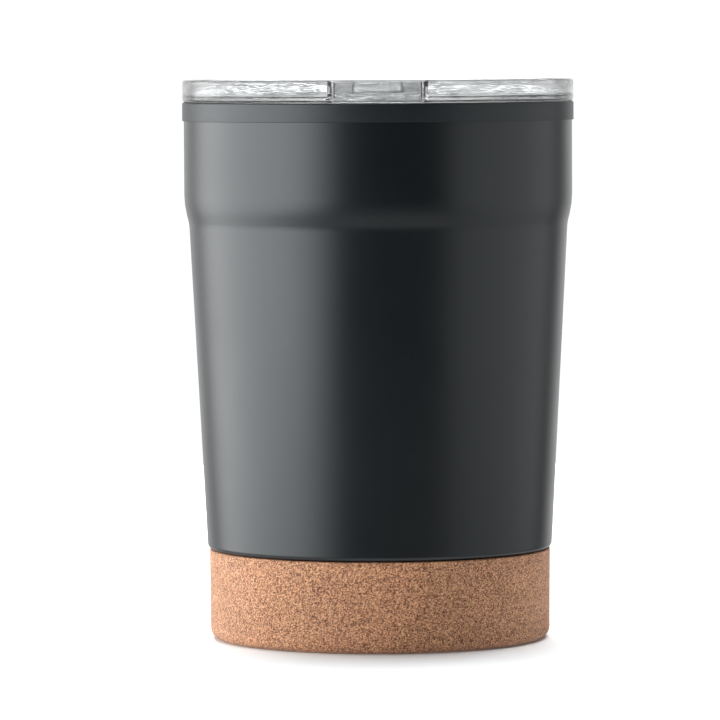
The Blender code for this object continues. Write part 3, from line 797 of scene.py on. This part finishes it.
def cork(settings):
    """Fine agglomerated cork: granules of many browns, dark seams between them, and flecks of bark."""
    inputs = {"Specular_IOR_Level": 0.55, "Sheen_Weight": 0.07, "Sheen_Roughness": 0.45}
    material, shader = new_material("cork", settings.tan, 0.88, **inputs)
    tree = material.node_tree
    place = object_place(tree)
    warp = add_node(tree, "ShaderNodeTexNoise", {"Vector": place, "Scale": 1400.0, "Detail": 2.0})
    wander = vector_maths(tree, "SUBTRACT", warp.outputs["Color"], (0.5, 0.5, 0.5))
    bent = vector_maths(tree, "ADD", place, vector_maths(tree, "SCALE", wander, 0.45 * MM))

    scale = 1.0 / settings.granule
    granules = cells(tree, bent, scale)
    chance = add_node(tree, "ShaderNodeSeparateColor", {0: granules["Color"]}).outputs["Red"]
    fine = remap(tree, noise(tree, place, 3600.0, 4.0, roughness=0.75), 0.30, 0.70, 0.0, 1.0)
    blend = maths(tree, "ADD", maths(tree, "MULTIPLY", chance, 0.40), maths(tree, "MULTIPLY", fine, 0.60))
    shades = add_node(tree, "ShaderNodeValToRGB", {"Fac": remap(tree, blend, 0.28, 0.74, 0.0, 1.0)})
    ramp = shades.color_ramp.elements
    ramp[0].color = (*settings.brown, 1.0)
    ramp[1].color = (*settings.pale, 1.0)
    ramp.new(0.42).color = (*settings.tan, 1.0)

    seam = remap(tree, seams(tree, bent, scale), 0.0, 0.10, 0.18, 0.0)
    speck = remap(tree, noise(tree, bent, 3000.0, 1.0), 0.63, 0.70, 0.0, 0.55)
    flakes = cells(tree, bent, 700.0)
    luck = add_node(tree, "ShaderNodeSeparateColor", {0: flakes["Color"]}).outputs["Green"]
    near = remap(tree, flakes["Distance"], 0.30, 0.16, 0.0, 1.0)
    flake = maths(tree, "MULTIPLY", near, remap(tree, luck, 0.93, 0.96, 0.0, 0.70))
    dark = maths(tree, "MAXIMUM", seam, maths(tree, "MAXIMUM", speck, flake))
    inputs = {"Factor": dark, "A": shades.outputs["Color"], "B": (*settings.bark, 1.0)}
    barked = add_node(tree, "ShaderNodeMix", inputs, data_type="RGBA").outputs["Result"]

    tinge(shader, barked, 11 * MM, 0.08, detail=2.0)
    roughen(shader, 0.72, 0.05, 0.08, 0.5 * MM)
    emboss(shader, maths(tree, "SUBTRACT", blend, dark), 0.06 * MM)
    return material


# --- Operators: the cup ---


class TUMBLER_OT_shell(Operator):
    """Make the lacquered steel shell"""

    bl_idname = "tumbler.shell"
    bl_label = "Steel shell"

    def execute(self, context):
        shell = context.scene.tumbler.shell
        liner = context.scene.tumbler.liner
        radius = SHELL_HIGH.x
        top = LINER_HIGH.z - liner.band_height - shell.band_gap
        step_foot = SHELL_HIGH.z - shell.step_drop
        shoulder = CORK_HIGH.z + shell.seat_gap
        neck = shell.base_radius - shell.neck_inset
        path = rounded(
            [
                (radius, top),
                (radius, step_foot + shell.step_height, shell.step_upper_round),
                (radius - shell.step_depth, step_foot, shell.step_lower_round),
                (shell.base_radius, shoulder, shell.shoulder_round),
                (neck, shoulder, shell.neck_round),
                (neck, SHELL_LOW.z, shell.neck_round),
                (neck - shell.lip_width, SHELL_LOW.z),
            ]
        )
        outline = path + offset(path, -shell.wall)[::-1]
        made = turned("steel_shell", outline, shell.segments, lacquer(shell))
        hand_over(made, "cup", "outer_shell")
        return {"FINISHED"}


class TUMBLER_OT_liner(Operator):
    """Make the moulded liner and its rim band"""

    bl_idname = "tumbler.liner"
    bl_label = "Liner"

    def execute(self, context):
        liner = context.scene.tumbler.liner
        rim = LINER_HIGH.z
        band = rim - liner.band_height
        groove = band - liner.groove_drop
        under = liner.floor_height - liner.floor
        mouth_foot = rim - liner.straight
        collar = liner.collar_radius
        collar_foot = band - liner.collar_depth
        groove_foot = groove - liner.groove_height
        groove_bed = collar - liner.groove_depth
        mouth_outside = liner.mouth_radius + liner.wall
        boss_inside = liner.boss_radius - liner.boss_wall
        outline = rounded(
            [
                (0, liner.floor_height),
                (liner.base_radius, liner.floor_height, liner.floor_round),
                (liner.mouth_radius, mouth_foot, liner.flare_round),
                (liner.mouth_radius, rim, liner.band_round),
                (LINER_HIGH.x, rim, liner.band_round),
                (LINER_HIGH.x, band, liner.band_foot_round),
                (collar, band),
                (collar, groove),
                (groove_bed, groove),
                (groove_bed, groove_foot),
                (collar, groove_foot),
                (collar, collar_foot, liner.band_round),
                (mouth_outside, collar_foot),
                (mouth_outside, mouth_foot),
                (liner.base_radius + liner.wall, under, liner.floor_round),
                (liner.boss_radius, under),
                (liner.boss_radius, LINER_LOW.z),
                (boss_inside, LINER_LOW.z),
                (boss_inside, under),
                (0, under),
            ]
        )
        made = turned("liner", outline, liner.segments, liner_plastic(liner))
        hand_over(made, "cup", "inner_liner")
        return {"FINISHED"}


class TUMBLER_OT_inner_pieces(Operator):
    """Give the gaskets, the base cap and the bond pad their finishes"""

    bl_idname = "tumbler.inner_pieces"
    bl_label = "Inner pieces"

    def execute(self, context):
        rubber = plain_rubber("black_rubber", (0.012, 0.012, 0.012), 0.62)
        foam = plain_rubber("bonding_foam", (0.62, 0.58, 0.50), 0.9)
        plastic = bpy.data.materials.get("liner_plastic") or liner_plastic(context.scene.tumbler.liner)
        finishes = {"rim_gasket": rubber, "base_gasket": rubber, "base_cap": plastic, "bond_pad": foam}
        for node, finish in finishes.items():
            paint(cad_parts[node], finish)
        return {"FINISHED"}


class TUMBLER_OT_cork_foot(Operator):
    """Make the cork foot"""

    bl_idname = "tumbler.cork_foot"
    bl_label = "Cork foot"

    def execute(self, context):
        foot = context.scene.tumbler.cork
        radius = CORK_HIGH.x
        socket = radius - foot.wall
        wall = rounded(
            [
                (0, CORK_LOW.z),
                (radius - foot.taper, CORK_LOW.z, foot.foot_round),
                (radius, CORK_HIGH.z, foot.top_round),
                (socket, CORK_HIGH.z, foot.socket_round),
                (socket, foot.floor),
                (0, foot.floor),
            ]
        )
        start = next(i for i, point in enumerate(wall) if point[0] > radius - 2 * foot.foot_round)
        end = next(i for i, point in enumerate(wall) if i > start and point[0] < radius - foot.top_round)
        outline = wall[:start] + divided(wall[start:end], foot.row) + wall[end:]
        finish = cork(foot)
        made = turned("cork_foot", outline, foot.segments, finish)
        pits = {"granule": foot.granule, "depth": foot.pit_depth}
        grow(made, pitted_tree(), **pits, floor_height=CORK_LOW.z + FLAT_FOOT, material=finish)
        turn_outwards(made)
        hand_over(made, "cup", "cork_base")
        return {"FINISHED"}


# --- Operators: the lid ---


def lid_levels(lid):
    """The lid's levels: its seat on the rim, its deck, the channel's floor and the plug's lower end."""
    seat = LID_HIGH.z - lid.rim_height
    deck = seat + lid.flange
    return seat, deck, deck - lid.channel_sink, LID_LOW.z


def channel_plan(lid, slider):
    """The channel's front radius and the place of its rear end."""
    front = lid.plug_radius - lid.plug_wall - lid.channel_margin
    return front, SLIDER_HIGH.y + slider.travel + slider.clearance


def lid_section(lid):
    """Half the lid's section: raised rim, deck, plug and the two ribs that hold the seal."""
    seat, deck, _, foot = lid_levels(lid)
    radius = LID_HIGH.x
    inner = lid.plug_radius - lid.plug_wall
    lower_rib = foot + lid.rib_height
    seal_foot = lower_rib + lid.rib_height
    upper_rib = seal_foot + SEAL_CLEARANCE + (SEAL_HIGH.z - SEAL_LOW.z) + SEAL_CLEARANCE
    upper_rib_top = upper_rib + lid.rib_height
    rim_inner = radius - lid.rim_wall
    tight, small, eased, soft = 0.15 * MM, 0.2 * MM, 0.3 * MM, 0.5 * MM
    return rounded(
        [
            (0, deck - lid.deck),
            (inner, deck - lid.deck, soft),
            (inner, foot, eased),
            (lid.plug_radius, foot, eased),
            (lid.rib_radius, lower_rib, small),
            (lid.rib_radius, seal_foot, tight),
            (lid.plug_radius, seal_foot, tight),
            (lid.plug_radius, upper_rib, tight),
            (lid.rib_radius, upper_rib, small),
            (lid.rib_radius, upper_rib_top, small),
            (lid.plug_radius, upper_rib_top, small),
            (lid.plug_radius, seat, eased),
            (radius, seat, soft),
            (radius, LID_HIGH.z, lid.rim_round),
            (rim_inner, LID_HIGH.z, lid.rim_inner_round),
            (rim_inner, deck, lid.deck_round),
            (0, deck),
        ]
    )


def drink_plan(lid, front_radius):
    """The drinking hole's outline."""
    reach = front_radius - lid.drink_margin
    front_y = -math.sqrt(reach**2 - lid.drink_half_width**2)
    corners = [
        (-lid.drink_half_width, front_y, lid.drink_round),
        (0, -reach, reach),
        (lid.drink_half_width, front_y, lid.drink_round),
        (lid.drink_half_width, lid.drink_length - reach, lid.drink_round),
        (-lid.drink_half_width, lid.drink_length - reach, lid.drink_round),
    ]
    return rounded(corners, closed=True)


class TUMBLER_OT_lid(Operator):
    """Make the clear lid with its channel, spout, drinking hole and vent"""

    bl_idname = "tumbler.lid"
    bl_label = "Clear lid"

    def execute(self, context):
        lid = context.scene.tumbler.lid
        slider = context.scene.tumbler.slider
        _, deck, channel_floor, _ = lid_levels(lid)
        front, rear = channel_plan(lid, slider)
        outer_half = lid.channel_half_width + lid.channel_wall
        outer_rear = rear + lid.channel_wall
        plug_inner = lid.plug_radius - lid.plug_wall
        rim_inner = LID_HIGH.x - lid.rim_wall
        above = LID_HIGH.z + OVERCUT
        below = channel_floor - lid.deck - OVERCUT
        finish = clear_plastic("clear_plastic", lid, lid.tint, outer_half)
        made = turned("clear_lid", lid_section(lid), lid.segments, finish)

        trough = bullet(outer_half, plug_inner + OVERLAP, outer_rear, lid.wall_round)
        join(made, "trough", trough, channel_floor - lid.deck, deck - OVERLAP)
        walls = bullet(outer_half, rim_inner + OVERLAP, outer_rear, lid.wall_round)
        wall_top = LID_HIGH.z - lid.channel_top_drop
        join(made, "walls", walls, deck - OVERLAP, wall_top)

        channel = bullet(lid.channel_half_width, front, rear, lid.channel_round)
        cut(made, "channel", channel, channel_floor, above)
        spout = bullet(lid.channel_half_width - lid.spout_step, rim_inner - lid.spout_lip, -plug_inner / 2)
        cut(made, "spout", spout, deck, above)
        dip_half = lid.channel_half_width + lid.channel_wall / 2
        dip = rectangle(-dip_half, dip_half, -LID_HIGH.x - OVERCUT, -plug_inner)
        cut(made, "dip", dip, LID_HIGH.z - lid.spout_dip, above)

        rail_foot = channel_floor + 2 * slider.clearance + slider.thickness
        for side in (1, -1):
            near = side * (lid.channel_half_width - lid.rail_overhang)
            far = side * (lid.channel_half_width + OVERLAP)
            plan = rectangle(min(near, far), max(near, far), lid.rail_setback - front, rear - OVERLAP)
            join(made, "rail", plan, rail_foot, rail_foot + lid.rail_height)
        cut(made, "drink_hole", drink_plan(lid, front), below, above)
        vent = circle(lid.vent_radius, outer_rear + lid.vent_setback)
        cut(made, "vent", vent, below, above)
        soften_edges(made, lid.edge)
        paint(made, finish)
        turn_outwards(made, CRISP_ANGLE)
        hand_over(made, "lid", "lid_body")
        return {"FINISHED"}


class TUMBLER_OT_seal(Operator):
    """Make the silicone ring on the lid's plug"""

    bl_idname = "tumbler.seal"
    bl_label = "Lid seal"

    def execute(self, context):
        seal = context.scene.tumbler.seal
        inner = context.scene.tumbler.lid.plug_radius + SEAL_CLEARANCE
        pitch = (SEAL_HIGH.z - SEAL_LOW.z) / seal.lips
        corners = [(inner, SEAL_LOW.z)]
        for lip in range(seal.lips):
            corners.append((inner + seal.wall, SEAL_LOW.z + lip * pitch, seal.tip_round))
            corners.append((SEAL_HIGH.x, SEAL_LOW.z + (lip + 0.5) * pitch, seal.tip_round))
        corners.append((inner + seal.wall, SEAL_HIGH.z, seal.tip_round))
        corners.append((inner, SEAL_HIGH.z))
        made = turned("silicone_ring", rounded(corners, closed=True), seal.segments, silicone(seal))
        hand_over(made, "seal", "lid_seal")
        return {"FINISHED"}


class TUMBLER_OT_slider(Operator):
    """Make the slider that closes the drinking hole"""

    bl_idname = "tumbler.slider"
    bl_label = "Slider"

    def execute(self, context):
        lid = context.scene.tumbler.lid
        slider = context.scene.tumbler.slider
        front = channel_plan(lid, slider)[0] - slider.clearance
        finish = clear_plastic("clear_plastic_slider", lid, slider.tint, 0.0)
        plan = bullet(SLIDER_HIGH.x, front, SLIDER_HIGH.y, slider.corner)
        top = SLIDER_LOW.z + slider.thickness
        made = prism("slider_plate", plan, SLIDER_LOW.z, top)
        soften_edges(made, slider.edge)
        middle = SLIDER_HIGH.y - slider.grip_setback
        half_length = slider.grip_length / 2
        half_width = slider.grip_half_width
        plan = rectangle(-half_width, half_width, middle - half_length, middle + half_length)
        corners = [(*corner, slider.grip_round) for corner in plan]
        grip_top = SLIDER_HIGH.z - slider.rib_radius
        grip = prism("grip", rounded(corners, closed=True), top - OVERLAP, grip_top, slider.grip_draft)
        soften_edges(grip, slider.edge / 2)
        combine(made, grip, "UNION")
        grow(
            made,
            ribbed_tree(),
            count=slider.rib_count,
            pitch=slider.rib_pitch,
            radius=slider.rib_radius,
            length=2 * (half_width - slider.grip_draft - RIB_MARGIN),
            first_rib=(0.0, middle - slider.rib_pitch * (slider.rib_count - 1) / 2, grip_top),
            material=finish,
        )
        turn_outwards(made, CRISP_ANGLE)
        hand_over(made, "closure", "slider")
        return {"FINISHED"}


# --- Operators: the studio ---


def softbox(name, place, target, width, height, radiance, falloff, seen_through=False):
    """A rectangular light of a given radiance that the camera doesn't see, and that shows through clear
    plastic only when asked. It fades towards its edges over the falloff's shares of its width and height."""
    lamp = bpy.data.lights.new(name, "AREA")
    lamp.shape = "RECTANGLE"
    lamp.size = width
    lamp.size_y = height
    lamp.energy = radiance * math.pi * width * height
    lamp.use_nodes = True
    tree = lamp.node_tree
    spot = axes(tree, add_node(tree, "ShaderNodeNewGeometry").outputs["Parametric"])
    fades = []
    for axis, part in zip(("X", "Y"), falloff):
        nearest = maths(tree, "MINIMUM", spot[axis], maths(tree, "SUBTRACT", 1.0, spot[axis]))
        fades.append(remap(tree, nearest, 0.0, part, 0.0, 1.0, interpolation_type="SMOOTHSTEP"))
    strength = maths(tree, "MULTIPLY", *fades)
    tree.links.new(strength, tree.nodes["Emission"].inputs["Strength"])
    made = add_object(name, lamp)
    made.location = place
    made.rotation_euler = (Vector(target) - made.location).to_track_quat("-Z", "Y").to_euler()
    made.visible_camera = False
    made.visible_transmission = seen_through


def studio_world(studio):
    """White where the camera sees it. Everything else meets a studio that is white behind the cup, dark in
    front of it and dimly lit from below, and what shows through clear plastic is evened out."""
    world = bpy.data.worlds.new("studio")
    bpy.context.scene.world = world
    world.use_nodes = True
    tree = world.node_tree
    background = tree.nodes["Background"]
    direction = axes(tree, add_node(tree, "ShaderNodeTexCoord").outputs["Generated"])
    behind = remap(tree, direction["Y"], 0.71, 0.91, 0.0, studio.back_radiance)
    below = remap(tree, direction["Z"], -0.25, -0.55, 0.0, studio.low_radiance)
    lit = maths(tree, "MAXIMUM", maths(tree, "MAXIMUM", behind, below), studio.dark_radiance)
    rays = add_node(tree, "ShaderNodeLightPath")
    dimmed = maths(tree, "ADD", maths(tree, "MULTIPLY", lit, studio.through_share), studio.through_radiance)
    inputs = {"Factor": rays.outputs["Is Transmission Ray"], "A": lit, "B": dimmed}
    lit = add_node(tree, "ShaderNodeMix", inputs).outputs["Result"]
    inputs = {"Factor": rays.outputs["Is Camera Ray"], "A": lit, "B": studio.backdrop_radiance}
    strength = add_node(tree, "ShaderNodeMix", inputs)
    tree.links.new(strength.outputs["Result"], background.inputs["Strength"])
    background.inputs["Color"].default_value = (1.0, 1.0, 1.0, 1.0)


class TUMBLER_OT_studio(Operator):
    """Make the camera, the softboxes, the white surroundings and the floor"""

    bl_idname = "tumbler.studio"
    bl_label = "Studio"

    def execute(self, context):
        studio = context.scene.tumbler.studio
        lens = bpy.data.cameras.new("camera")
        lens.lens = studio.lens
        lens.sensor_width = 36.0
        lens.clip_start = 0.05
        lens.clip_end = 20.0
        camera = add_object("camera", lens)
        camera.location = (0, -studio.camera_distance, studio.camera_height)
        camera.rotation_euler = (math.radians(90) - studio.camera_pitch, 0, studio.camera_yaw)
        camera.rotation_euler.rotate_axis("Z", studio.camera_roll)
        context.scene.camera = camera
        context.scene.view_settings.view_transform = "Standard"

        level = studio.side_height
        side_target = (0, 0, level)
        middle = (0, 0, (CORK_LOW.z + LID_HIGH.z) / 2)
        softbox("key", (-0.885, -0.140, level), side_target, 3.20, 1.20, studio.key_radiance, (0.38, 0.28))
        softbox("fill", (0.946, -0.083, level), side_target, 2.30, 1.20, studio.fill_radiance, (0.25, 0.28))
        softbox("top", (0, 0.45, 1.20), middle, 1.60, 1.20, studio.top_radiance, (0.2, 0.2), True)
        studio_world(studio)

        shape = bmesh.new()
        bmesh.ops.create_circle(shape, cap_ends=True, segments=128, radius=studio.floor_radius)
        mesh = bpy.data.meshes.new("floor")
        shape.to_mesh(mesh)
        shape.free()
        floor = add_object("floor", mesh)
        material, shader = new_material("white_floor", studio.floor_tint, 0.6, Specular_IOR_Level=0.2)
        roughen(shader, 0.6, 0.02, 0.02, 2 * MM)
        mesh.materials.append(material)
        floor.visible_glossy = False
        return {"FINISHED"}


# --- Sidebar ---


OPERATORS = (
    TUMBLER_OT_studio,
    TUMBLER_OT_shell,
    TUMBLER_OT_liner,
    TUMBLER_OT_inner_pieces,
    TUMBLER_OT_cork_foot,
    TUMBLER_OT_lid,
    TUMBLER_OT_seal,
    TUMBLER_OT_slider,
)


class TUMBLER_PT_panel(Panel):
    """Lists the operators and the settings of the pieces."""

    bl_idname = "TUMBLER_PT_panel"
    bl_label = "Tumbler"
    bl_space_type = "VIEW_3D"
    bl_region_type = "UI"
    bl_category = "Tumbler"

    def draw(self, context):
        for operator in OPERATORS:
            self.layout.operator(operator.bl_idname)
        for group_name in TUMBLER_PG_settings.__annotations__:
            group = getattr(context.scene.tumbler, group_name)
            box = self.layout.box()
            box.label(text=group_name.capitalize())
            for setting in group.__annotations__:
                box.prop(group, setting)


CLASSES = (
    TUMBLER_PG_shell,
    TUMBLER_PG_liner,
    TUMBLER_PG_cork,
    TUMBLER_PG_lid,
    TUMBLER_PG_slider,
    TUMBLER_PG_seal,
    TUMBLER_PG_studio,
    TUMBLER_PG_settings,
    *OPERATORS,
    TUMBLER_PT_panel,
)


def register():
    for made_class in CLASSES:
        bpy.utils.register_class(made_class)
    bpy.types.Scene.tumbler = PointerProperty(type=TUMBLER_PG_settings)


def unregister():
    del bpy.types.Scene.tumbler
    for made_class in reversed(CLASSES):
        bpy.utils.unregister_class(made_class)


def main():
    register()
    bpy.ops.tumbler.studio()
    bpy.ops.tumbler.shell()
    bpy.ops.tumbler.liner()
    bpy.ops.tumbler.inner_pieces()
    bpy.ops.tumbler.cork_foot()
    bpy.ops.tumbler.lid()
    bpy.ops.tumbler.seal()
    bpy.ops.tumbler.slider()


if __name__ == "__main__":
    main()
